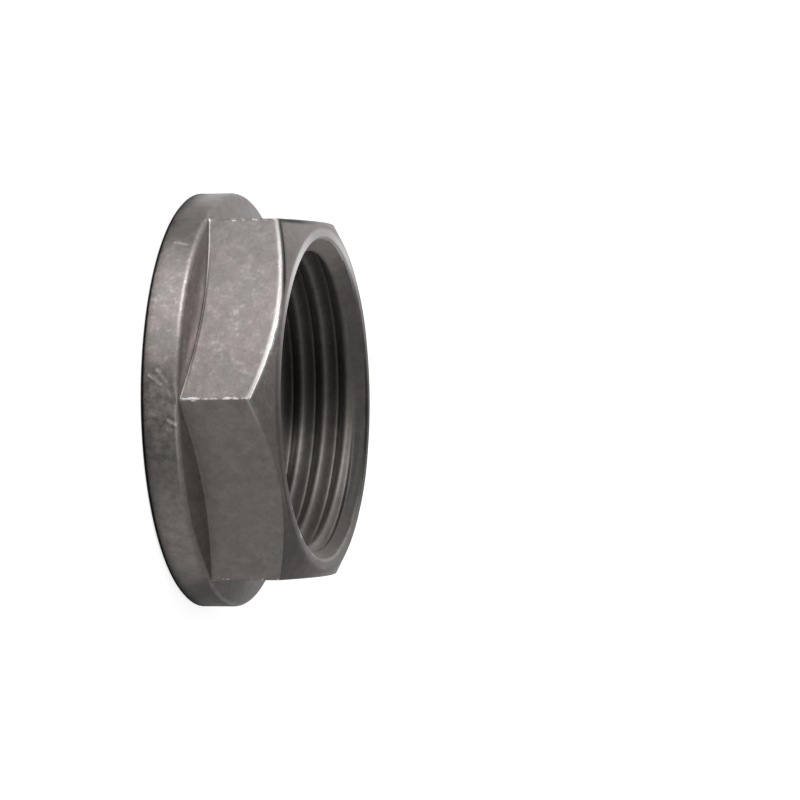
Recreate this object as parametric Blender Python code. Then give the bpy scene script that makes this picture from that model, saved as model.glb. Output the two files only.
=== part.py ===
"""Cable gland locknut with a collar: a hexagon head turned and milled in one piece, tapped right through.

Metres, +Z up. The origin is the centre of the collar's bearing face, which lies on Z = 0.
The bore runs along Z, and one corner of the hexagon points to -Y.
"""

import math

import bmesh
import bpy
from mathutils import Matrix, Vector

MM = 0.001

# Metric thread: nominal diameter and pitch, with the flat crests and roots of the basic profile
THREAD_DIAMETER = 20.0 * MM
THREAD_PITCH = 1.5 * MM
THREAD_HALF_ANGLE = math.radians(30)
ROOT_FLAT_SHARE = 1 / 8
CREST_FLAT_SHARE = 1 / 4

# Where round the bore a groove's middle meets the bearing face
THREAD_START = math.radians(90)

# Both mouths are countersunk a little wider than the thread
FRONT_MOUTH_MARGIN = 0.05 * MM
BACK_MOUTH_MARGIN = 0.15 * MM
COUNTERSINK_ANGLE = math.radians(45)

# Hexagon head: the wall is the metal left between the thread's roots and a flat
FLAT_WALL = 1.0 * MM
TOTAL_HEIGHT = 7.95 * MM
CORNER_ROUND = 0.15 * MM
CORNER_CHAMFER = math.radians(30)
CHAMFER_INSET = 0.3 * MM

# Collar: its rim stands a little past the hexagon's corners, and its front climbs to the flats in a shallow cone
COLLAR_MARGIN = 0.17 * MM
COLLAR_THICKNESS = 2.35 * MM
COLLAR_CONE = math.radians(17)
RIM_FRONT_ROUND = 0.35 * MM
RIM_BACK_CHAMFER = 0.15 * MM

# Facets
FULL_TURN_STEPS = 72
ROUND_STEPS = 3
CORNER_STEPS = 3

# How far a cutting shape runs past what it cuts
CUTTER_OVERRUN = 1.0 * MM
CUTTER_EXTRA_TURNS = 2

# Points on the axis that a turning leaves in the same place become one
SAME_POINT = 1e-7

SHARP_EDGE = math.radians(25)
METAL_COLOUR = (0.31, 0.30, 0.29, 1.0)
METAL_ROUGHNESS = 0.42

CORNERS = 6
THREAD_RADIUS = THREAD_DIAMETER / 2
THREAD_DEPTH = THREAD_PITCH * (1 - ROOT_FLAT_SHARE - CREST_FLAT_SHARE) / 2 / math.tan(THREAD_HALF_ANGLE)
CREST_RADIUS = THREAD_RADIUS - THREAD_DEPTH
FLAT_RADIUS = THREAD_RADIUS + FLAT_WALL
CORNER_RADIUS = FLAT_RADIUS / math.cos(math.pi / CORNERS)
COLLAR_RADIUS = CORNER_RADIUS + COLLAR_MARGIN


def clear_scene():
    for obj in list(bpy.data.objects):
        bpy.data.objects.remove(obj, do_unlink=True)


def new_object(name, bm):
    bmesh.ops.recalc_face_normals(bm, faces=bm.faces)
    mesh = bpy.data.meshes.new(name)
    bm.to_mesh(mesh)
    bm.free()
    obj = bpy.data.objects.new(name, mesh)
    bpy.context.scene.collection.objects.link(obj)
    return obj


def arc(centre_r, centre_z, radius, start, end, steps):
    """Points (r, z) on a circle of a profile, from one angle to the other."""
    angles = [start + (end - start) * step / steps for step in range(steps + 1)]
    return [(centre_r + radius * math.cos(a), centre_z + radius * math.sin(a)) for a in angles]


def turned(name, profile):
    """A solid of revolution about Z. The profile starts and ends on the axis."""
    bm = bmesh.new()
    verts = [bm.verts.new((r, 0, z)) for r, z in profile]
    edges = [bm.edges.new(pair) for pair in zip(verts, verts[1:])]
    bmesh.ops.spin(
        bm,
        geom=verts + edges,
        cent=(0, 0, 0),
        axis=(0, 0, 1),
        angle=2 * math.pi,
        steps=FULL_TURN_STEPS,
        use_merge=True,
    )
    bmesh.ops.remove_doubles(bm, verts=bm.verts, dist=SAME_POINT)
    return new_object(name, bm)


def collar():
    """The round collar, whose front cone carries on inwards below the hexagon."""
    rise = math.tan(COLLAR_CONE)
    round_centre_z = COLLAR_THICKNESS - RIM_FRONT_ROUND * (1 - math.sin(COLLAR_CONE)) / math.cos(COLLAR_CONE)
    inner_radius = FLAT_RADIUS - FLAT_WALL / 2
    cone_top = COLLAR_THICKNESS + (COLLAR_RADIUS - inner_radius) * rise
    profile = [(0, 0), (COLLAR_RADIUS - RIM_BACK_CHAMFER, 0), (COLLAR_RADIUS, RIM_BACK_CHAMFER)]
    profile += arc(
        COLLAR_RADIUS - RIM_FRONT_ROUND,
        round_centre_z,
        RIM_FRONT_ROUND,
        0,
        math.pi / 2 - COLLAR_CONE,
        ROUND_STEPS,
    )
    profile += [(inner_radius, cone_top), (0, cone_top)]
    return turned("collar", profile)


def hexagon_bar():
    """A bar with six flats and slightly rounded corners, standing in the collar and running past the front."""
    bm = bmesh.new()
    arc_centre = CORNER_RADIUS - CORNER_ROUND / math.cos(math.pi / CORNERS)
    outline = []
    for corner in range(CORNERS):
        direction = corner * 2 * math.pi / CORNERS - math.pi / 2
        centre = arc_centre * Vector((math.cos(direction), math.sin(direction)))
        sweep = math.pi / CORNERS
        outline += arc(centre.x, centre.y, CORNER_ROUND, direction - sweep, direction + sweep, CORNER_STEPS)
    bottom = COLLAR_THICKNESS / 2
    face = bm.faces.new([bm.verts.new((x, y, bottom)) for x, y in outline])
    made = bmesh.ops.extrude_face_region(bm, geom=[face])
    top = [item for item in made["geom"] if isinstance(item, bmesh.types.BMVert)]
    bmesh.ops.translate(bm, verts=top, vec=(0, 0, TOTAL_HEIGHT + CUTTER_OVERRUN - bottom))
    return new_object("hexagon_bar", bm)


def front_turning():
    """What the lathe leaves of the bar: a flat front and a cone that takes the corners off."""
    face_radius = FLAT_RADIUS - CHAMFER_INSET
    outer_radius = CORNER_RADIUS + CUTTER_OVERRUN
    cone_bottom = TOTAL_HEIGHT - (outer_radius - face_radius) * math.tan(CORNER_CHAMFER)
    profile = [(0, 0), (outer_radius, 0), (outer_radius, cone_bottom), (face_radius, TOTAL_HEIGHT), (0, TOTAL_HEIGHT)]
    return turned("front_turning", profile)


def bore_cutter():
    """The drilled bore at the thread's crests, with a countersink at either end."""
    slope = math.tan(COUNTERSINK_ANGLE)
    back_mouth = THREAD_RADIUS + BACK_MOUTH_MARGIN
    front_mouth = THREAD_RADIUS + FRONT_MOUTH_MARGIN
    flare = CUTTER_OVERRUN / slope
    profile = [
        (0, -CUTTER_OVERRUN),
        (back_mouth + flare, -CUTTER_OVERRUN),
        (CREST_RADIUS, (back_mouth - CREST_RADIUS) * slope),
        (CREST_RADIUS, TOTAL_HEIGHT - (front_mouth - CREST_RADIUS) * slope),
        (front_mouth + flare, TOTAL_HEIGHT + CUTTER_OVERRUN),
        (0, TOTAL_HEIGHT + CUTTER_OVERRUN),
    ]
    return turned("bore_cutter", profile)


def thread_cutter():
    """One right-hand helical groove, cut out to the thread's roots and past both mouths.

    Its flanks carry on into the open bore, and its facets are turned half a step from the bore's,
    so no edge of one lies on the other. Helical faces aren't flat, so they are split into triangles.
    """
    root_half = THREAD_PITCH * ROOT_FLAT_SHARE / 2
    inside_half = THREAD_PITCH * (1 - CREST_FLAT_SHARE / 2) / 2
    inside = THREAD_RADIUS - (inside_half - root_half) / math.tan(THREAD_HALF_ANGLE)
    section = [(inside, -inside_half), (THREAD_RADIUS, -root_half)]
    section += [(r, -z) for r, z in reversed(section)]
    turns = math.ceil(TOTAL_HEIGHT / THREAD_PITCH) + CUTTER_EXTRA_TURNS
    step_angle = 2 * math.pi / FULL_TURN_STEPS
    step_rise = THREAD_PITCH / FULL_TURN_STEPS
    start = Vector((0, 0, -THREAD_PITCH * CUTTER_EXTRA_TURNS / 2))
    bm = bmesh.new()
    rings = []
    for step in range(turns * FULL_TURN_STEPS + 1):
        place = Matrix.Translation(start + Vector((0, 0, step * step_rise)))
        place @= Matrix.Rotation(THREAD_START + step * step_angle + step_angle / 2, 4, "Z")
        rings.append([bm.verts.new(place @ Vector((r, 0, z))) for r, z in section])
    for low, high in zip(rings, rings[1:]):
        for side in range(len(section)):
            after = (side + 1) % len(section)
            bm.faces.new((low[side], low[after], high[after], high[side]))
    bm.faces.new(rings[0])
    bm.faces.new(rings[-1])
    bmesh.ops.triangulate(bm, faces=bm.faces)
    return new_object("thread_cutter", bm)


def boolean(obj, other, operation):
    """Adds a Boolean to an object, and keeps the other shape as a guide that isn't rendered."""
    modifier = obj.modifiers.new(other.name, "BOOLEAN")
    modifier.operation = operation
    modifier.object = other
    other.hide_render = True
    other.display_type = "WIRE"


def nickel_material():
    material = bpy.data.materials.new("satin_nickel")
    material.use_nodes = True
    shader = material.node_tree.nodes["Principled BSDF"]
    shader.inputs["Base Color"].default_value = METAL_COLOUR
    shader.inputs["Metallic"].default_value = 1.0
    shader.inputs["Roughness"].default_value = METAL_ROUGHNESS
    return material


def finished(obj, name, material):
    """Applies an object's modifiers, drops its guides and shades its round faces smooth."""
    guides = [modifier.object for modifier in obj.modifiers]
    guides += [modifier.object for guide in guides for modifier in guide.modifiers]
    graph = bpy.context.evaluated_depsgraph_get()
    mesh = bpy.data.meshes.new_from_object(obj.evaluated_get(graph))
    mesh.name = name
    obj.modifiers.clear()
    obj.data = mesh
    obj.name = name
    mesh.materials.clear()
    mesh.materials.append(material)
    mesh.shade_smooth()
    mesh.set_sharp_from_angle(angle=SHARP_EDGE)
    for guide in guides:
        bpy.data.objects.remove(guide, do_unlink=True)
    return obj


def main():
    clear_scene()
    head = hexagon_bar()
    boolean(head, front_turning(), "INTERSECT")
    nut = collar()
    boolean(nut, head, "UNION")
    boolean(nut, bore_cutter(), "DIFFERENCE")
    boolean(nut, thread_cutter(), "DIFFERENCE")
    finished(nut, "locknut", nickel_material())


main()
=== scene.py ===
"""Looks for the cable gland locknut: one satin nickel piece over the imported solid, in metres with +Z up.

The nut rests on its bearing face. The photograph shows it from -Y and a little above, with the camera turned
a quarter turn, so +Z points right and -X points up in the picture. Round the nut, the near corner is at -90
degrees, the side that is up in the picture at 180 degrees and the side that is down at 0.
"""

import math

import bpy
import numpy as np
from mathutils import Matrix, Vector, noise


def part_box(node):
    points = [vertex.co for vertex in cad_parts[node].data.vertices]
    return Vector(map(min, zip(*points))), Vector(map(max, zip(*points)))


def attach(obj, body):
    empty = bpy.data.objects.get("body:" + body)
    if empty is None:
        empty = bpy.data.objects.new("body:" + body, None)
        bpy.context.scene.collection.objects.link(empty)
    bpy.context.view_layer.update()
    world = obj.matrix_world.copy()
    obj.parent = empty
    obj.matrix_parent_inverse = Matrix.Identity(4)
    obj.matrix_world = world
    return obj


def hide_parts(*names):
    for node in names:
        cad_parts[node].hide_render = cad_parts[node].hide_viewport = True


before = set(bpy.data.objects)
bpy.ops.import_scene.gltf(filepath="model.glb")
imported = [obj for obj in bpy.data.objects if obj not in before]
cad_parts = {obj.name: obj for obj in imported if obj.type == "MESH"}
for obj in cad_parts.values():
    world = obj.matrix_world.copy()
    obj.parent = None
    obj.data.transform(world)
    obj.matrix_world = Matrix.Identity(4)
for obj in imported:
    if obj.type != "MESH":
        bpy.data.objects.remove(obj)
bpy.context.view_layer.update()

MM = 0.001

# Sizes that the imported solid's box gives
CAD_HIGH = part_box("locknut")[1]
COLLAR_RADIUS = CAD_HIGH.x
TOTAL_HEIGHT = CAD_HIGH.z

# Sizes of the solid that its box doesn't give
THREAD_RADIUS = 10.0 * MM
THREAD_PITCH = 1.5 * MM
THREAD_HALF_ANGLE = math.radians(30)
ROOT_FLAT_SHARE = 1 / 8
CREST_FLAT_SHARE = 1 / 4

# Where round the bore a groove's middle meets the bearing face
THREAD_START = math.radians(90)

FRONT_MOUTH_RADIUS = 10.05 * MM
BACK_MOUTH_RADIUS = 10.15 * MM
CORNERS = 6
FLAT_RADIUS = 11.0 * MM
FACE_RADIUS = 10.7 * MM
CORNER_CHAMFER = math.radians(30)
COLLAR_THICKNESS = 2.35 * MM
COLLAR_CONE = math.radians(17)
BACK_CHAMFER = 0.15 * MM

THREAD_DEPTH = THREAD_PITCH * (1 - ROOT_FLAT_SHARE - CREST_FLAT_SHARE) / 2 / math.tan(THREAD_HALF_ANGLE)
CREST_RADIUS = THREAD_RADIUS - THREAD_DEPTH
CORNER_RADIUS = FLAT_RADIUS / math.cos(math.pi / CORNERS)

# Roundings that the solid leaves out or keeps coarse
CORNER_ROUND = 0.15 * MM
RIM_FRONT_ROUND = 0.35 * MM
RIM_BACK_ROUND = 0.06 * MM
ROOT_FILLET = 0.12 * MM
ARC_ROUND = 0.14 * MM
RING_ROUND = 1.0 * MM
MOUTH_ROUND = 0.15 * MM
MOUTH_DEPTH = 0.1 * MM
THREAD_ROUND = 0.22 * MM
COUNTERSINK_ROUND = 0.08 * MM

# A rounding takes up no more than this share of the lines on either side
ROUNDING_SHARE = 0.45

# Mesh density, and how much closer together its rows and columns are near an edge
CORNER_STEPS = 6
FLAT_STEPS = 66
ARC_STEPS = 4
ROWS_A_PITCH = 16
CLUSTERING = 0.6

# How far the thread's rows run past either mouth before they are cut off there
EXTRA_PITCHES = 1

# Heights that are closer than this are the same
SAME_HEIGHT = 1e-9

# How far bright wear, partly a painted highlight, reaches from an edge, and how deep and wide its dents are
WEAR_REACH = 0.1 * MM
DENT_DEPTH = 0.05 * MM
DENT_SIZE = 0.3 * MM

# Further than any wear reaches
OUT_OF_REACH = 1.0

# The near corner is less worn, with less painted highlight, on the side that faces down
WEAR_AND_HIGHLIGHT_LOST_BELOW = 0.6

# The worn front edge has a bright band a little before it, partly polishing and partly painted highlight,
# and a painted shadow line a little behind it
ARC_BAND_AWAY = 0.07 * MM
ARC_BAND_REACH = 0.105 * MM
ARC_BAND_POLISH_AND_HIGHLIGHT = 0.68
ARC_CHAMFER_POLISH_AND_HIGHLIGHT = 0.25
ARC_SHADOW_AWAY = 0.1 * MM
ARC_SHADOW_REACH = 0.13 * MM
ARC_SHADOW_STRENGTH = 0.93

# The cone has a lighter band right before it meets the upper flat, and the flat a painted shade line right
# after
ROOT_BAND_REACH = 0.5 * MM
ROOT_BAND_FADE = 0.16 * MM
ROOT_BAND_STRENGTH = 1.35
PAINTED_ROOT_SHADE_REACH = 0.07 * MM
PAINTED_ROOT_SHADE_STRENGTH = 0.72

# How high the painted shadow along the back edge reaches
BACK_SHADOW_TOP = 0.27 * MM
BACK_SHADOW_FADE = 0.1 * MM
BACK_SHADOW_STRENGTH = 0.88

# Over what width the polishing and painted highlight of the front ring set in
POLISH_AND_HIGHLIGHT_FADE = 0.2 * MM

# How deep the front countersink and its dirt reach, and how much of the last groove the dirt leaves open
COUNTERSINK_REACH = 1.0 * MM
COUNTERSINK_FADE = 0.3 * MM
GROOVE_LEFT = 0.03 * MM

# Below this height a patch of the thread has a painted highlight
DEEP_THREAD_TOP = 4.4 * MM
DEEP_THREAD_FADE = 1.0 * MM

# What each point carries for the material: a name, and its plain value outside and in the bore
LOOKS = [
    ("edge_wear_and_painted_highlight", 0.0, 0.0),
    ("polish_and_painted_highlight", 0.0, 0.0),
    # Painted light and shade, multiplied into the colour
    ("tone_and_painted_light_and_shade", 1.0, 1.0),
    ("pink_and_painted_glints", 0.16, 0.0),
    ("mottling", 0.25, 0.0),
    ("painted_glance_shade", 1.0, 1.0),
    ("dullness", 0.0, 1.0),
]

# In degrees round the nut: the near corner, the middle of the upper flat, and a flat's reach from its middle
NEAR_CORNER = -90
UPPER_FLAT = -120
HALF_FLAT = 180 / CORNERS

# The far side has painted shade, in a spot with its middle and reach in degrees and the brightness that it
# takes away
PAINTED_FAR_SHADE = (78, 66, -0.82)


def spread(steps):
    """Shares from 0 to 1, closer together near both ends."""
    even = np.linspace(0, 1, steps + 1)
    cosine = (1 - np.cos(np.pi * even)) / 2
    return (1 - CLUSTERING) * even + CLUSTERING * cosine


def soft_min(a, b, blend):
    """The lesser of two values, with the step between them rounded off."""
    share = np.clip(0.5 + 0.5 * (b - a) / blend, 0, 1)
    return b + (a - b) * share - blend * share * (1 - share)


def soft_max(a, b, blend):
    return -soft_min(-a, -b, blend)


def fade(distance, reach=WEAR_REACH):
    """1 at no distance, and almost 0 at twice the reach."""
    return np.exp(-((distance / reach) ** 2))


def away_from(angles, middle):
    """How far round angles are from a middle, from -180 to 180 degrees."""
    return (np.degrees(angles) - middle + 180) % 360 - 180


def round_about(angles, middle, reach):
    """1 at an angle in degrees, falling smoothly to 0 at reach degrees away from it."""
    away = np.abs(away_from(angles, middle))
    return np.cos(np.clip(away / reach, 0, 1) * math.pi / 2) ** 2


def level_about(angles, middle, reach, gain):
    """As round_about, but raised by a gain and cut off level at 1."""
    return np.clip(gain * round_about(angles, middle, reach), 0, 1)


def spotted(angles, plain, *spots):
    """A plain value changed by spots, each with its middle and reach in degrees and what it adds there."""
    return plain + sum(change * round_about(angles, middle, reach) for middle, reach, change in spots)


def noise_at(points, size):
    """Noise from about -1 to 1, with patches about as wide as size."""
    flat = (points / size).reshape(-1, 3).tolist()
    return np.array([noise.noise(point) for point in flat]).reshape(points.shape[:-1])


def hexagon_columns():
    """For each column of the mesh: its angle, the hexagon's radius there and how far it is from a corner."""
    centre = CORNER_RADIUS - CORNER_ROUND / math.cos(math.pi / CORNERS)
    turn = np.linspace(-math.pi / CORNERS, math.pi / CORNERS, CORNER_STEPS + 1)
    corner_x = centre + CORNER_ROUND * np.cos(turn)
    corner_y = CORNER_ROUND * np.sin(turn)
    half_flat = FLAT_RADIUS * math.tan(math.pi / CORNERS - math.atan2(corner_y[-1], corner_x[-1]))
    along = -half_flat + 2 * half_flat * spread(FLAT_STEPS)[1:-1]
    angles = []
    radii = []
    distances = []
    for corner in range(CORNERS):
        direction = corner * 2 * math.pi / CORNERS - math.pi / 2
        angles.append(direction + np.arctan2(corner_y, corner_x))
        radii.append(np.hypot(corner_x, corner_y))
        distances.append(np.zeros(CORNER_STEPS + 1))
        angles.append(direction + math.pi / CORNERS + np.arctan2(along, FLAT_RADIUS))
        radii.append(np.hypot(along, FLAT_RADIUS))
        distances.append(half_flat - np.abs(along))
    return np.concatenate(angles), np.concatenate(radii), np.concatenate(distances)


def rounded_corner(before, corner, after, rounding):
    """Where a rounding starts and ends on the lines before and after a corner, and the points of its arc."""
    back = before - corner
    ahead = after - corner
    back_length = np.linalg.norm(back, axis=-1, keepdims=True)
    ahead_length = np.linalg.norm(ahead, axis=-1, keepdims=True)
    back = back / back_length
    ahead = ahead / ahead_length
    half = np.arccos(np.clip(np.sum(back * ahead, axis=-1, keepdims=True), -1, 1)) / 2
    reach = np.minimum(rounding / np.tan(half), ROUNDING_SHARE * np.minimum(back_length, ahead_length))
    bisector = back + ahead
    bisector = bisector / np.linalg.norm(bisector, axis=-1, keepdims=True)
    centre = corner + bisector * reach / np.cos(half)
    start = corner + back * reach
    end = corner + ahead * reach
    sweep = math.pi - 2 * half
    arc = []
    for share in np.linspace(0, 1, ARC_STEPS + 1)[1:]:
        from_start = np.sin((1 - share) * sweep) / np.sin(sweep)
        from_end = np.sin(share * sweep) / np.sin(sweep)
        arc.append(centre + from_start * (start - centre) + from_end * (end - centre))
    return start, end, arc


def rounded_profile(points, roundings, steps):
    """Rows of (r, z) for all columns along a line of points, with each inner point rounded off.

    Each row comes with the line it is on, and how far it is from that line's start and end. The rows of a
    rounding count as the start of the line that follows.
    """
    inner = [rounded_corner(*corner) for corner in zip(points, points[1:], points[2:], roundings)]
    corners = [(points[0], points[0], [])] + inner + [(points[-1], points[-1], [])]
    at_start = np.zeros(len(points[0]))
    rows = [points[0]]
    lines = [0]
    to_start = [at_start]
    to_end = [np.linalg.norm(corners[1][0] - points[0], axis=-1)]
    for line in range(len(points) - 1):
        line_start = corners[line][1]
        line_end, _, arc = corners[line + 1]
        length = np.linalg.norm(line_end - line_start, axis=-1)
        for share in spread(steps[line])[1:]:
            rows.append(line_start + share * (line_end - line_start))
            lines.append(line)
            to_start.append(length * share)
            to_end.append(length * (1 - share))
        for arc_row in arc:
            rows.append(arc_row)
            lines.append(line + 1)
            to_start.append(at_start)
            to_end.append(at_start + OUT_OF_REACH)
    return np.stack(rows), lines, np.stack(to_start), np.stack(to_end)


def plain_looks(shape, in_bore):
    """The plain value of everything that the points of a surface carry."""
    return {name: np.full(shape, bore if in_bore else outside) for name, outside, bore in LOOKS}


def outer_profile(angles, walls):
    """The outer profile for all columns, from the back mouth, round the outside, to the front mouth.

    Each point has its place, its rounding and its worn brightness, partly a painted highlight, then the
    steps and the name of the line after it.
    """
    # The front mouth's wear is partly a painted highlight
    mouth_wear_and_highlight = spotted(angles, 0.15, (-145, 40, 0.4), (-35, 45, 0.25))
    cone_top = COLLAR_THICKNESS + (COLLAR_RADIUS - walls) * math.tan(COLLAR_CONE)
    flat_top = TOTAL_HEIGHT - (walls - FACE_RADIUS) * math.tan(CORNER_CHAMFER)

    def ring(radius, height):
        return np.stack(np.broadcast_arrays(radius, height, walls)[:2], axis=-1)

    return [
        (ring(BACK_MOUTH_RADIUS - MOUTH_DEPTH, MOUTH_DEPTH), None, 0, 1, "back mouth"),
        (ring(BACK_MOUTH_RADIUS, 0), MOUTH_ROUND, 0.4, 6, "bearing face"),
        (ring(COLLAR_RADIUS - BACK_CHAMFER, 0), RIM_BACK_ROUND, 0.1, 1, "back chamfer"),
        (ring(COLLAR_RADIUS, BACK_CHAMFER), RIM_BACK_ROUND, 0.1, 10, "rim"),
        (ring(COLLAR_RADIUS, COLLAR_THICKNESS), RIM_FRONT_ROUND, 0.15, 6, "cone"),
        (ring(walls, cone_top), ROOT_FILLET, 0, 44, "flat"),
        (ring(walls, flat_top), ARC_ROUND, 0, 12, "chamfer"),
        (ring(FACE_RADIUS, TOTAL_HEIGHT), RING_ROUND, 0, 5, "ring"),
        (ring(FRONT_MOUTH_RADIUS, TOTAL_HEIGHT), MOUTH_ROUND, mouth_wear_and_highlight, 1, "front mouth"),
        (ring(FRONT_MOUTH_RADIUS - MOUTH_DEPTH, TOTAL_HEIGHT - MOUTH_DEPTH), None, 0, None, None),
    ]


def dress_collar(looks, on, angles, height, to_start, to_end):
    """Painted light and shade on the rim and the cone, and a painted shadow along the back edge."""
    rim = (on == "rim") | (on == "back chamfer")
    # Painted light and shade round the rim
    rim_light_and_shade_spots = [
        (-160, 13, 0.12),
        (-140, 14, -0.18),
        (-118, 18, 0.12),
        (-81, 24, -0.24),
        (-72, 14, -0.12),
        (-48, 20, 0.15),
        (-24, 18, -0.3),
    ]
    # A painted shadow along the back edge, where the nut stands on the floor
    back_shadow = BACK_SHADOW_STRENGTH * np.clip((BACK_SHADOW_TOP - height[rim]) / BACK_SHADOW_FADE, 0, 1)
    looks["tone_and_painted_light_and_shade"][rim] = spotted(angles, 1, *rim_light_and_shade_spots) * (1 - back_shadow)
    looks["mottling"][rim] = spotted(angles, 0.3, (-88, 22, 1.5), (-62, 40, 0.5))

    cone = on == "cone"
    # Painted light and shade round the cone, and painted shade along its front edge
    painted_cone_light_and_shade = spotted(angles, 1, (-130, 30, -0.1), (-76, 50, 0.28), (-40, 25, 0.12), (-12, 20, -0.1))
    painted_front_shade = spotted(angles, 0, (-99, 15, 0.3))
    root_band = ROOT_BAND_STRENGTH * level_about(angles, -114, 28, 1.3)
    before_root = np.clip((ROOT_BAND_REACH - to_end[cone]) / ROOT_BAND_FADE, 0, 1)
    looks["tone_and_painted_light_and_shade"][cone] = painted_cone_light_and_shade - painted_front_shade * fade(to_start[cone]) + root_band * before_root


def dress_flats_and_chamfers(looks, on, angles, corner_distances, to_start, to_end):
    """Painted light and shade on the flats and chamfers, and along their edges bright worn bands, partly
    painted highlights, and painted shadow lines.
    """
    # Wear, polishing and painted highlight are strongest on the upper edges, and a painted shadow line runs
    # behind the upper arc
    arc_wear_and_highlight = spotted(angles, 0.12, (-122, 55, 0.5))
    arc_band = level_about(angles, -120, 45, 2)
    arc_shadow = ARC_SHADOW_STRENGTH * level_about(angles, -145, 34, 1.6)

    flat = on == "flat"
    on_upper_flat = np.abs(away_from(angles, UPPER_FLAT)) < HALF_FLAT
    # Painted shade on the upper flat, least in its middle and most towards the near corner
    painted_flat_shade = 1 - on_upper_flat * spotted(angles, 0.14, (-120, 32, -0.11), (-98, 14, 0.05))
    # A painted shade line on the flat along its root
    painted_root_shade = PAINTED_ROOT_SHADE_STRENGTH * level_about(angles, -115, 32, 1.3)
    looks["tone_and_painted_light_and_shade"][flat] = painted_flat_shade * (1 - painted_root_shade * fade(to_start[flat], PAINTED_ROOT_SHADE_REACH))
    before_arc = to_end[flat] - ARC_BAND_AWAY
    looks["polish_and_painted_highlight"][flat] = ARC_BAND_POLISH_AND_HIGHLIGHT * arc_band * fade(before_arc, ARC_BAND_REACH)

    past_corner = away_from(angles, NEAR_CORNER) > 0
    # The corners' wear is partly a painted highlight
    corner_wear_and_highlight = spotted(angles, 0.3, (NEAR_CORNER, 30, 0.4), (-150, 30, 0.16))
    corner_wear_and_highlight *= 1 - WEAR_AND_HIGHLIGHT_LOST_BELOW * past_corner * round_about(angles, NEAR_CORNER, 30)
    edge_wear_and_painted_highlight = np.maximum(corner_wear_and_highlight * fade(corner_distances), arc_wear_and_highlight * fade(before_arc))
    looks["edge_wear_and_painted_highlight"][flat] = np.maximum(looks["edge_wear_and_painted_highlight"][flat], edge_wear_and_painted_highlight)

    chamfer = on == "chamfer"
    # Painted shade on the chamfers: on the far side, on the lower side and in a spot on the upper side
    painted_chamfer_shade = spotted(angles, 1, PAINTED_FAR_SHADE, (-37, 28, -0.3), (-140, 18, -0.12))
    behind_arc = to_start[chamfer] - ARC_SHADOW_AWAY
    looks["tone_and_painted_light_and_shade"][chamfer] = painted_chamfer_shade * (1 - arc_shadow * fade(behind_arc, ARC_SHADOW_REACH))
    out_of_shadow = (1 - arc_shadow) * fade(to_start[chamfer])
    looks["polish_and_painted_highlight"][chamfer] = ARC_CHAMFER_POLISH_AND_HIGHLIGHT * arc_band * out_of_shadow
    looks["edge_wear_and_painted_highlight"][chamfer] = np.maximum(looks["edge_wear_and_painted_highlight"][chamfer], arc_wear_and_highlight * out_of_shadow)


def dress_front(looks, on, angles, radius):
    """The front ring and the lip of its mouth: polished, with painted highlights, in places, and painted
    shade elsewhere.
    """
    ring = on == "ring"
    # Polishing and painted highlight on the upper side of the ring, and painted shade on its near and far
    # sides
    ring_polish_and_highlight = spotted(angles, 0, (-143, 34, 1), (152, 26, 0.75), (180, 30, 0.4))
    looks["tone_and_painted_light_and_shade"][ring] = spotted(angles, 1, PAINTED_FAR_SHADE, (-85, 45, -0.28), (-45, 30, -0.3))
    looks["polish_and_painted_highlight"][ring] = ring_polish_and_highlight * np.clip((FACE_RADIUS - radius[ring]) / POLISH_AND_HIGHLIGHT_FADE, 0, 1)

    # On the lip, painted shade on the near side and a painted highlight on the lower side
    mouth = on == "front mouth"
    looks["tone_and_painted_light_and_shade"][mouth] = spotted(angles, 1, PAINTED_FAR_SHADE, (-92, 40, -0.5))
    looks["polish_and_painted_highlight"][mouth] = spotted(angles, ring_polish_and_highlight, (-45, 32, 0.6))

    # The near part mirrors little at a glancing angle, as a painted shade on its reflection
    looks["painted_glance_shade"][ring | mouth] = spotted(angles, 1, (-77, 40, -0.62))


def outer_surface(angles, walls, corner_distances):
    """Rows of points from the back mouth, round the outside, to the front mouth, with their looks."""
    points, roundings, wear_and_highlight_at, steps, names = zip(*outer_profile(angles, walls))
    rows, lines, to_start, to_end = rounded_profile(points, roundings[1:-1], steps)
    radius = rows[:, :, 0]
    height = rows[:, :, 1]
    looks = plain_looks(radius.shape, in_bore=False)
    # Pinkness and painted glints, strongest on the upper flat
    looks["pink_and_painted_glints"] = spotted(angles, looks["pink_and_painted_glints"], (-114, 38, 0.6))
    for row, line in enumerate(lines):
        from_start = wear_and_highlight_at[line] * fade(to_start[row])
        from_end = wear_and_highlight_at[line + 1] * fade(to_end[row])
        looks["edge_wear_and_painted_highlight"][row] = np.maximum(from_start, from_end)

    # The name of the line that each row is on
    on = np.array([names[line] for line in lines])
    dress_collar(looks, on, angles, height, to_start, to_end)
    dress_flats_and_chamfers(looks, on, angles, corner_distances, to_start, to_end)
    dress_front(looks, on, angles, radius)

    outward = np.stack([np.cos(angles), np.sin(angles), np.zeros(len(angles))], axis=-1)
    surface = radius[:, :, None] * outward
    surface[:, :, 2] = height
    dents = DENT_DEPTH * looks["edge_wear_and_painted_highlight"] * np.clip(noise_at(surface, DENT_SIZE), 0, 1)
    return surface - dents[:, :, None] * outward, looks


def thread_radius(phase):
    """The bore's radius at a share of the pitch away from the middle of a root."""
    away = np.abs(phase - np.round(phase)) * THREAD_PITCH
    flank = THREAD_RADIUS - (away - THREAD_PITCH * ROOT_FLAT_SHARE / 2) / math.tan(THREAD_HALF_ANGLE)
    return soft_max(soft_min(flank, THREAD_RADIUS, THREAD_ROUND), CREST_RADIUS, THREAD_ROUND)


def in_front_countersink(z):
    """0 in the thread and 1 in the front countersink."""
    return np.clip((z - (TOTAL_HEIGHT - COUNTERSINK_REACH)) / COUNTERSINK_FADE, 0, 1)


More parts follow.
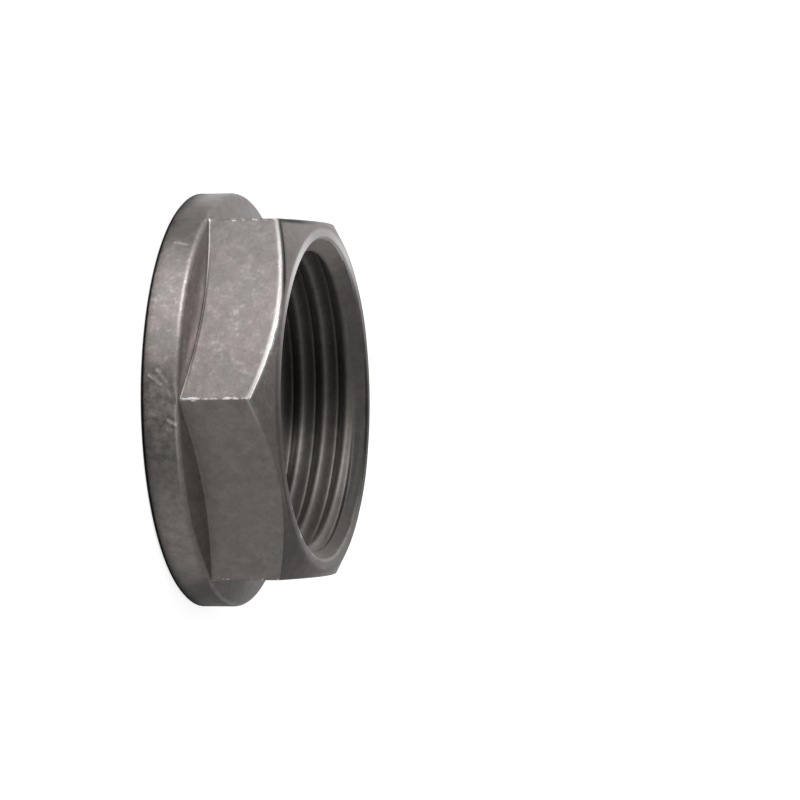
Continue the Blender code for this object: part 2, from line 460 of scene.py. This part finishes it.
def painted_bore_light_and_shade(angles, z):
    """Shares of the metal's brightness in the bore: painted light and shade, with spots of their own on the
    thread and in the countersink.
    """
    in_countersink = in_front_countersink(z)
    deep = np.clip((DEEP_THREAD_TOP - z) / DEEP_THREAD_FADE, 0, 1)
    # Painted light and shade on the thread, and a painted highlight on a patch of it low down
    thread = spotted(angles, 0, (142, 36, 0.2), (95, 27, -0.3), (38, 32, -0.28))
    thread = thread + deep * spotted(angles, 0, (71, 14, 0.75))
    # Painted light and shade in the countersink
    countersink = spotted(angles, 0, (168, 32, 0.58), (88, 70, -0.32), (34, 70, -0.5))
    # Painted shade over the whole bore, most on the far side
    bore = spotted(angles, 0.95, (90, 70, -0.12))
    return bore + (1 - in_countersink) * thread + in_countersink * countersink


def inner_surface(angles):
    """Points on rows that climb with the thread, from below the back mouth to above the front mouth."""
    turns = (angles - THREAD_START) / (2 * math.pi)
    row_count = math.ceil((TOTAL_HEIGHT / THREAD_PITCH + 2 * EXTRA_PITCHES) * ROWS_A_PITCH)
    phase = np.arange(row_count)[:, None] / ROWS_A_PITCH - EXTRA_PITCHES
    z = (phase + turns) * THREAD_PITCH
    radius = np.broadcast_to(thread_radius(phase), z.shape)
    front_cone = FRONT_MOUTH_RADIUS - (TOTAL_HEIGHT - z)
    back_cone = BACK_MOUTH_RADIUS - z
    filled = in_front_countersink(z)
    radius = (1 - filled) * radius + filled * soft_min(radius, front_cone + GROOVE_LEFT, COUNTERSINK_ROUND)
    radius = soft_max(radius, back_cone, COUNTERSINK_ROUND)
    radius = soft_max(radius, front_cone, COUNTERSINK_ROUND)
    looks = plain_looks(z.shape, in_bore=True)
    looks["tone_and_painted_light_and_shade"] = painted_bore_light_and_shade(angles, z)
    return np.stack([radius * np.cos(angles), radius * np.sin(angles), z], axis=-1), looks


def outer_faces(index):
    """Faces between the outer rows. Beyond the last column, a row meets itself."""
    after = np.roll(index, -1, axis=1)
    return np.stack([index[:-1], after[:-1], after[1:], index[1:]], axis=-1).reshape(-1, 4).tolist()


def inner_faces(index, front_mouth):
    """Faces between the thread's rows. Beyond the last column, a row meets the one a pitch further on."""
    after = np.roll(index, -1, axis=1)
    after[:-ROWS_A_PITCH, -1] = index[ROWS_A_PITCH:, 0]
    after[-ROWS_A_PITCH:, -1] = front_mouth
    quads = np.stack([index[:-1], index[1:], after[1:], after[:-1]], axis=-1).reshape(-1, 4).tolist()
    # Where rows are cut off at a mouth's ring, a face has fewer corners or none
    faces = [list(dict.fromkeys(quad)) for quad in quads]
    return [face for face in faces if len(face) > 2]


def nut_mesh():
    """One closed mesh: the outer rows, and the thread's rows cut off at the two mouths' rings."""
    angles, walls, corner_distances = hexagon_columns()
    outer, outer_looks = outer_surface(angles, walls, corner_distances)
    inner, inner_looks = inner_surface(angles)
    z = inner[:, :, 2]
    below = z <= MOUTH_DEPTH + SAME_HEIGHT
    above = z >= TOTAL_HEIGHT - MOUTH_DEPTH - SAME_HEIGHT
    between = ~(below | above)

    outer_index = np.arange(outer[:, :, 0].size).reshape(len(outer), len(angles))
    inner_index = np.where(below, outer_index[0], outer_index[-1])
    inner_index[between] = outer_index.size + np.arange(between.sum())
    faces = outer_faces(outer_index) + inner_faces(inner_index, outer_index[-1, 0])
    mesh = bpy.data.meshes.new("locknut_body")
    mesh.from_pydata(np.concatenate([outer.reshape(-1, 3), inner[between]]).tolist(), [], faces)
    for name, outer_values in outer_looks.items():
        values = np.concatenate([outer_values.ravel(), inner_looks[name][between]])
        attribute = mesh.attributes.new(name, "FLOAT", "POINT")
        attribute.data.foreach_set("value", values.astype(np.float32))
    return mesh


def shade_by_area(mesh):
    """Smooth shading in which large faces outweigh the narrow ones of a rounding, so flats look flat."""
    mesh.shade_smooth()
    count = len(mesh.polygons)
    normals = np.zeros(count * 3)
    areas = np.zeros(count)
    loops = np.zeros(len(mesh.loops), dtype=np.int32)
    totals = np.zeros(count, dtype=np.int32)
    mesh.polygons.foreach_get("normal", normals)
    mesh.polygons.foreach_get("area", areas)
    mesh.polygons.foreach_get("loop_total", totals)
    mesh.loops.foreach_get("vertex_index", loops)
    weighted = np.repeat(normals.reshape(-1, 3) * areas[:, None], totals, axis=0)
    sums = np.zeros((len(mesh.vertices), 3))
    np.add.at(sums, loops, weighted)
    sums /= np.linalg.norm(sums, axis=-1, keepdims=True)
    mesh.normals_split_custom_set_from_vertices(sums.tolist())


# Colours of the metal, of its painted specks of highlight, of bare and polished metal that are partly
# painted highlights, and of scratches
PLAIN_METAL = (0.264, 0.2475, 0.2335, 1)
PINKISH = (0.290, 0.247, 0.244, 1)
PAINTED_GLINT = (0.42, 0.39, 0.375, 1)
BARE_METAL_AND_HIGHLIGHT = (0.78, 0.76, 0.74, 1)
POLISH_AND_HIGHLIGHT = (0.88, 0.86, 0.84, 1)
STROKE_COLOUR = (0.62, 0.60, 0.58, 1)

# How wide the patches of each unevenness are
BLOTCH_SIZE = 1.6 * MM
WAVE_SIZE = 0.9 * MM
CLOUD_SIZE = 0.8 * MM
BREAK_SIZE = 0.5 * MM
PATCH_SIZE = 0.42 * MM
PAINTED_GLINT_SIZE = 0.34 * MM
SPECKLE_SIZE = 0.22 * MM
GRAIN_SIZE = 0.12 * MM

# How deep the waves, the grain and the marks look
WAVE_DEPTH = 0.03 * MM
GRAIN_DEPTH = 0.008 * MM
STROKE_DEPTH = 0.03 * MM

# Between which values of its noise each thing sets in
PINK_FROM = (0.36, 0.56)
CLOUD_FROM = (0.35, 0.65)
SPECKLE_FROM = (0.3, 0.7)
PAINTED_GLINT_FROM = (0.5, 0.78)
PAINTED_GLINT_CLOUD_FROM = (0.4, 0.6)
SCRATCH_FROM = (0.35, 0.6)

# The darkest and lightest that clouds and speckle make the metal, and the weakest and strongest of a scratch
CLOUD_TONES = (0.93, 1.06)
SPECKLE_TONES = (0.86, 1.06)
SCRATCH_SHARES = (0.5, 1)

# The metal is bared, partly as a painted highlight, where wear and noise together reach the first values,
# and the wear alone the second
BREAK_STRENGTH = 2.2
BARE_FROM = (1.55, 1.9)
BARE_WEAR_FROM = (0.1, 0.3)

# Roughness from one end of the speckle to the other, what the bore adds to it and what bare metal takes off
ROUGHNESSES = (0.38, 0.54)
BORE_ROUGHER = 0.14
BARE_SMOOTHER = 0.12

# Marks on the near side of the rim: two ends, each across and up in millimetres, and how strong the mark is
STROKE_WIDTH = 0.2 * MM
LIGHT_STROKES = [
    ((-1.52, 0.6), (-0.95, 1.35), 0.4),
    ((-1.52, 0.6), (-1.4, 0.75), 0.6),
    ((-1.8, 1.12), (-1.0, 1.75), 0.3),
    ((-1.8, 1.12), (-1.7, 1.25), 0.5),
    ((-0.6, 1.72), (-0.3, 1.97), 0.3),
    ((1.2, 1.78), (1.44, 2.15), 0.7),
    ((1.68, 1.78), (1.8, 2.03), 0.25),
    ((0.8, 0.7), (0.92, 0.95), 0.3),
    ((-9.5, 0.98), (-9.35, 1.75), 0.5),
]
DARK_STROKES = [
    ((-1.65, 0.88), (-1.0, 1.55), 0.13),
    ((-1.3, 0.6), (-0.75, 1.3), 0.1),
    ((1.0, 1.78), (1.18, 2.1), 0.3),
    ((1.56, 1.8), (1.68, 2.15), 0.18),
]


def rim_point(x, z):
    """A point in metres on the near side of the collar's rim, from millimetres across and up."""
    return (x * MM, -math.sqrt(COLLAR_RADIUS**2 - (x * MM) ** 2), z * MM)


class Nodes:
    """Short calls for building a node tree."""

    def __init__(self, tree):
        self.tree = tree

    def add(self, kind, inputs=None, **settings):
        node = self.tree.nodes.new(kind)
        for name, value in settings.items():
            setattr(node, name, value)
        for name, value in (inputs or {}).items():
            if isinstance(value, bpy.types.NodeSocket):
                self.tree.links.new(value, node.inputs[name])
            else:
                node.inputs[name].default_value = value
        return node

    def carried(self, name):
        """A value that the mesh carries at each point."""
        return self.add("ShaderNodeAttribute", attribute_name=name).outputs["Fac"]

    def math(self, operation, first, second=0.0, clamp=False):
        inputs = {0: first, 1: second}
        return self.add("ShaderNodeMath", inputs, operation=operation, use_clamp=clamp).outputs["Value"]

    def times(self, first, second):
        return self.math("MULTIPLY", first, second)

    def noise(self, vector, size, detail=2.0, roughness=0.5):
        inputs = {"Vector": vector, "Scale": 1 / size, "Detail": detail, "Roughness": roughness}
        return self.add("ShaderNodeTexNoise", inputs).outputs["Fac"]

    def step(self, value, low, high):
        """0 below low and 1 above high, with a smooth step between."""
        inputs = {"Value": value, "From Min": low, "From Max": high}
        return self.add("ShaderNodeMapRange", inputs, interpolation_type="SMOOTHSTEP").outputs["Result"]

    def ranged(self, value, low, high, at_low, at_high):
        """A value from one range carried over to another, and kept in it."""
        inputs = {"Value": value, "From Min": low, "From Max": high, "To Min": at_low, "To Max": at_high}
        return self.add("ShaderNodeMapRange", inputs).outputs["Result"]

    def mix(self, factor, first, second):
        """A mix of two colours, whose sockets go by number because a mix has several with one name."""
        return self.add("ShaderNodeMix", {0: factor, 6: first, 7: second}, data_type="RGBA").outputs[2]

    def vector(self, operation, first, second):
        return self.add("ShaderNodeVectorMath", {0: first, 1: second}, operation=operation)

    def shaded(self, colour, tone_and_painted_light_and_shade):
        """A colour times a grey value."""
        return self.vector("MULTIPLY", colour, tone_and_painted_light_and_shade).outputs["Vector"]

    def bump(self, height, depth, normal=None, invert=False):
        """A surface normal tilted by a height, on top of another normal where one is given."""
        inputs = {"Height": height, "Distance": depth, "Strength": 1.0}
        if normal:
            inputs["Normal"] = normal
        return self.add("ShaderNodeBump", inputs, invert=invert).outputs["Normal"]

    def stroke(self, place, first, last, strength):
        """A short straight mark from one point to another, with a soft edge and soft ends."""
        along = Vector(last) - Vector(first)
        from_first = self.vector("SUBTRACT", place, first).outputs["Vector"]
        dot = self.vector("DOT_PRODUCT", from_first, along / along.length_squared).outputs["Value"]
        share = self.math("MULTIPLY", dot, 1.0, True)
        nearest = self.vector("MULTIPLY", share, along).outputs["Vector"]
        away = self.vector("DISTANCE", from_first, nearest).outputs["Value"]
        return self.times(self.math("SUBTRACT", 1.0, self.step(away, 0, STROKE_WIDTH)), strength)

    def strokes(self, place, marks):
        """Several marks on the rim, where the strongest counts."""
        strongest = None
        for first, last, strength in marks:
            mark = self.stroke(place, rim_point(*first), rim_point(*last), strength)
            strongest = mark if strongest is None else self.math("MAXIMUM", strongest, mark)
        return strongest


def nickel_material():
    """Satin nickel: unevenly plated, worn bright at some edges, with short marks on the rim, painted specks
    of highlight, and painted light and shade.
    """
    material = bpy.data.materials.new("satin_nickel")
    material.use_nodes = True
    nodes = Nodes(material.node_tree)
    shader = material.node_tree.nodes["Principled BSDF"]
    links = material.node_tree.links
    place = nodes.add("ShaderNodeTexCoord").outputs["Object"]
    pink_and_painted_glints = nodes.carried("pink_and_painted_glints")
    clouds = nodes.noise(place, CLOUD_SIZE)
    speckle = nodes.noise(place, SPECKLE_SIZE, detail=3, roughness=0.65)

    # The plating is faintly pink, with painted glints in places, and is cloudy, speckled and mottled
    pink = nodes.times(nodes.step(nodes.noise(place, BLOTCH_SIZE), *PINK_FROM), pink_and_painted_glints)
    colour = nodes.mix(pink, PLAIN_METAL, PINKISH)
    colour = nodes.shaded(colour, nodes.ranged(clouds, *CLOUD_FROM, *CLOUD_TONES))
    colour = nodes.shaded(colour, nodes.ranged(speckle, *SPECKLE_FROM, *SPECKLE_TONES))
    patches = nodes.math("SUBTRACT", nodes.noise(place, PATCH_SIZE, detail=3, roughness=0.6), 0.5)
    colour = nodes.shaded(colour, nodes.math("ADD", nodes.times(patches, nodes.carried("mottling")), 1.0))
    painted_glints = nodes.step(nodes.noise(place, PAINTED_GLINT_SIZE, detail=1), *PAINTED_GLINT_FROM)
    painted_glints = nodes.times(painted_glints, nodes.step(clouds, *PAINTED_GLINT_CLOUD_FROM))
    colour = nodes.mix(nodes.times(painted_glints, pink_and_painted_glints), colour, PAINTED_GLINT)

    # The worn edges are polished or, where the noise breaks through, bare, and both are partly painted
    # highlights
    wear_and_highlight = nodes.carried("edge_wear_and_painted_highlight")
    colour = nodes.mix(nodes.carried("polish_and_painted_highlight"), colour, POLISH_AND_HIGHLIGHT)
    broken = nodes.math("ADD", wear_and_highlight, nodes.times(nodes.noise(place, BREAK_SIZE), BREAK_STRENGTH))
    bare = nodes.times(nodes.step(broken, *BARE_FROM), nodes.step(wear_and_highlight, *BARE_WEAR_FROM))
    colour = nodes.mix(bare, colour, BARE_METAL_AND_HIGHLIGHT)

    # Marks, and painted light and shade
    light_strokes = nodes.strokes(place, LIGHT_STROKES)
    scratched = nodes.times(light_strokes, nodes.ranged(speckle, *SCRATCH_FROM, *SCRATCH_SHARES))
    colour = nodes.mix(scratched, colour, STROKE_COLOUR)
    colour = nodes.shaded(colour, nodes.math("SUBTRACT", 1.0, nodes.strokes(place, DARK_STROKES)))
    colour = nodes.shaded(colour, nodes.carried("tone_and_painted_light_and_shade"))
    links.new(colour, shader.inputs["Base Color"])
    shader.inputs["Metallic"].default_value = 1.0
    # Painted shade on the reflection at a glancing angle near the front mouth
    links.new(nodes.carried("painted_glance_shade"), shader.inputs["Specular Tint"])

    rough = nodes.ranged(speckle, 0, 1, *ROUGHNESSES)
    rough = nodes.math("ADD", rough, nodes.times(nodes.carried("dullness"), BORE_ROUGHER))
    rough = nodes.math("SUBTRACT", rough, nodes.times(bare, BARE_SMOOTHER))
    links.new(rough, shader.inputs["Roughness"])

    normal = nodes.bump(nodes.noise(place, GRAIN_SIZE, roughness=0.6), GRAIN_DEPTH)
    normal = nodes.bump(nodes.noise(place, WAVE_SIZE), WAVE_DEPTH, normal)
    normal = nodes.bump(light_strokes, STROKE_DEPTH, normal, invert=True)
    links.new(normal, shader.inputs["Normal"])
    return material


def add_object(name, data):
    obj = bpy.data.objects.new(name, data)
    bpy.context.scene.collection.objects.link(obj)
    return obj


def add_nut():
    mesh = nut_mesh()
    shade_by_area(mesh)
    mesh.materials.append(nickel_material())
    nut = add_object("locknut_body", mesh)
    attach(nut, "root")
    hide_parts("locknut")


# Camera, as fitted to the nut's outline and edges in the photograph
VIEW_ELEVATION = math.radians(17.076)
VIEW_AZIMUTH = math.radians(0.113)
VIEW_ROLL = math.radians(-0.424)
VIEW_YAW = math.radians(2.475)
VIEW_DISTANCE = 284.75 * MM
LENS = 204.99
CLIP_START = 10 * MM


def add_camera():
    back = Vector((
        math.sin(VIEW_AZIMUTH) * math.cos(VIEW_ELEVATION),
        -math.cos(VIEW_AZIMUTH) * math.cos(VIEW_ELEVATION),
        math.sin(VIEW_ELEVATION),
    ))
    right = (Vector((0, 0, 1)) - back * back.z).normalized()
    upright = Matrix((right, back.cross(right), back)).transposed()
    turned = Matrix.Rotation(VIEW_ROLL, 3, back) @ upright @ Matrix.Rotation(-VIEW_YAW, 3, "Y")
    data = bpy.data.cameras.new("photo_view")
    data.lens = LENS
    data.clip_start = CLIP_START
    camera = add_object("photo_view", data)
    camera.matrix_world = Matrix.Translation(back * VIEW_DISTANCE) @ turned.to_4x4()
    bpy.context.scene.camera = camera


# The floor lies a hair below the nut, so that the two faces don't fight
FLOOR_GAP = 0.02 * MM
FLOOR_HALF = 3.0
FLOOR_COLOUR = (0.8, 0.8, 0.8, 1)
FLOOR_GLOW = 0.72

WHITE = (1, 1, 1, 1)

# How much light the white surroundings give, as a share of how bright they look
AMBIENT = 0.45

# The one lamp, a small soft light on the camera's side and above the nut in the picture
KEY_PLACE = (-0.36, -0.20, 0.13)
KEY_SIDE = 0.16
KEY_POWER = 1.0

# Grey cards that only the metal mirrors: name, centre and two half sides in metres, and grey value
CARDS = [
    ("flag_right", (0.20, -0.1, 0.15), (0, 0.3, 0), (0, 0, 0.15), 0.3),
    ("flag_top", (0.05, 0, 0.30), (0.15, 0, 0), (0, 0.4, 0), 0.3),
    ("flag_back", (0.1137, 0.25, 0.165), (0.0963, 0, 0), (0, 0, 0.105), 0.25),
]

# Grey patches over the floor, seen likewise: name, outline and height in millimetres, and grey value
UNDER_RADIUS = 13.6
UNDER_SIDES = 24
UNDER_ANGLES = [2 * math.pi * side / UNDER_SIDES for side in range(UNDER_SIDES)]
UNDER_OUTLINE = [(UNDER_RADIUS * math.cos(angle), UNDER_RADIUS * math.sin(angle)) for angle in UNDER_ANGLES]
FLOOR_OUTLINE = [(-2.4, -13), (-60, -125), (200, -200), (200, 200), (10, 200), (4, 13.5)]
FAR_OUTLINE = [(12.6, -4.5), (40, -2), (200, 60), (200, 200), (0, 200), (0, 70), (-6, 55), (-5, 13.5)]
LEFT_OUTLINE = [(-11.2, -8.6), (-30, -10), (-80, -4), (-80, 60), (-13, -2.5)]
PATCHES = [
    ("flag_floor", FLOOR_OUTLINE, 0.05, 0.52),
    ("flag_far", FAR_OUTLINE, 0.06, 0.25),
    ("flag_left", LEFT_OUTLINE, 0.06, 0.5),
    # The patch under the nut is a painted shade that the metal's reflections see where it stands on the
    # floor
    ("flag_under", UNDER_OUTLINE, 0.08, 0.04),
]


def add_stage_polygon(name, corners):
    """A flat polygon that is not part of the nut."""
    mesh = bpy.data.meshes.new(name)
    mesh.from_pydata(corners, [], [tuple(range(len(corners)))])
    obj = add_object(name, mesh)
    return obj


def rectangle(centre, across, up):
    """Corners of a rectangle from its centre and two half sides."""
    centre = Vector(centre)
    across = Vector(across)
    up = Vector(up)
    return [centre - across - up, centre + across - up, centre + across + up, centre - across + up]


def seen_or_mirrored(nodes):
    """1 for rays that show the background or its reflection, and 0 for those that only light the scene."""
    path = nodes.add("ShaderNodeLightPath")
    mirrored = nodes.math("ADD", path.outputs["Is Glossy Ray"], path.outputs["Is Transmission Ray"])
    return nodes.math("ADD", path.outputs["Is Camera Ray"], mirrored, True)


def add_floor():
    """A plain pale floor, which isn't there for a ray from below, so the bearing face can be looked at."""
    corners = rectangle((0, 0, -FLOOR_GAP), (FLOOR_HALF, 0, 0), (0, FLOOR_HALF, 0))
    floor = add_stage_polygon("floor", corners)
    material = bpy.data.materials.new("white_floor")
    material.use_nodes = True
    nodes = Nodes(material.node_tree)
    links = material.node_tree.links
    shader = material.node_tree.nodes["Principled BSDF"]
    shader.inputs["Base Color"].default_value = FLOOR_COLOUR
    shader.inputs["Roughness"].default_value = 1.0
    shader.inputs["Specular IOR Level"].default_value = 0.0
    shader.inputs["Emission Color"].default_value = WHITE
    links.new(nodes.times(seen_or_mirrored(nodes), FLOOR_GLOW), shader.inputs["Emission Strength"])
    from_below = nodes.add("ShaderNodeNewGeometry").outputs["Backfacing"]
    clear = nodes.add("ShaderNodeBsdfTransparent").outputs["BSDF"]
    surface = nodes.add("ShaderNodeMixShader", {0: from_below, 1: shader.outputs["BSDF"], 2: clear})
    links.new(surface.outputs["Shader"], material.node_tree.nodes["Material Output"].inputs["Surface"])
    floor.data.materials.append(material)


def add_world():
    """White surroundings, which light the scene less than they show."""
    world = bpy.data.worlds.new("studio")
    world.use_nodes = True
    nodes = Nodes(world.node_tree)
    background = world.node_tree.nodes["Background"]
    background.inputs["Color"].default_value = WHITE
    strength = nodes.math("ADD", nodes.times(seen_or_mirrored(nodes), 1 - AMBIENT), AMBIENT)
    world.node_tree.links.new(strength, background.inputs["Strength"])
    bpy.context.scene.world = world


def add_key_light():
    data = bpy.data.lights.new("key", "AREA")
    data.shape = "SQUARE"
    data.size = KEY_SIDE
    data.energy = KEY_POWER
    lamp = add_object("key", data)
    lamp.location = KEY_PLACE
    lamp.rotation_mode = "QUATERNION"
    lamp.rotation_quaternion = (-Vector(KEY_PLACE)).to_track_quat("-Z", "Y")


def add_flag(name, corners, shade):
    """A grey polygon that only the metal's reflections see."""
    flag = add_stage_polygon(name, corners)
    material = bpy.data.materials.new(name)
    material.use_nodes = True
    tree = material.node_tree
    tree.nodes.clear()
    nodes = Nodes(tree)
    emission = nodes.add("ShaderNodeEmission", {"Color": (shade, shade, shade, 1), "Strength": 1.0})
    output = nodes.add("ShaderNodeOutputMaterial")
    tree.links.new(emission.outputs[0], output.inputs["Surface"])
    flag.data.materials.append(material)
    flag.visible_camera = False
    flag.visible_diffuse = False
    flag.visible_transmission = False
    flag.visible_volume_scatter = False
    flag.visible_shadow = False


def add_flags():
    for name, centre, across, up, shade in CARDS:
        add_flag(name, rectangle(centre, across, up), shade)
    for name, outline, height, shade in PATCHES:
        add_flag(name, [(x * MM, y * MM, height * MM) for x, y in outline], shade)


add_nut()
add_camera()
add_floor()
add_world()
add_key_light()
add_flags()
bpy.context.scene.view_settings.view_transform = "Standard"
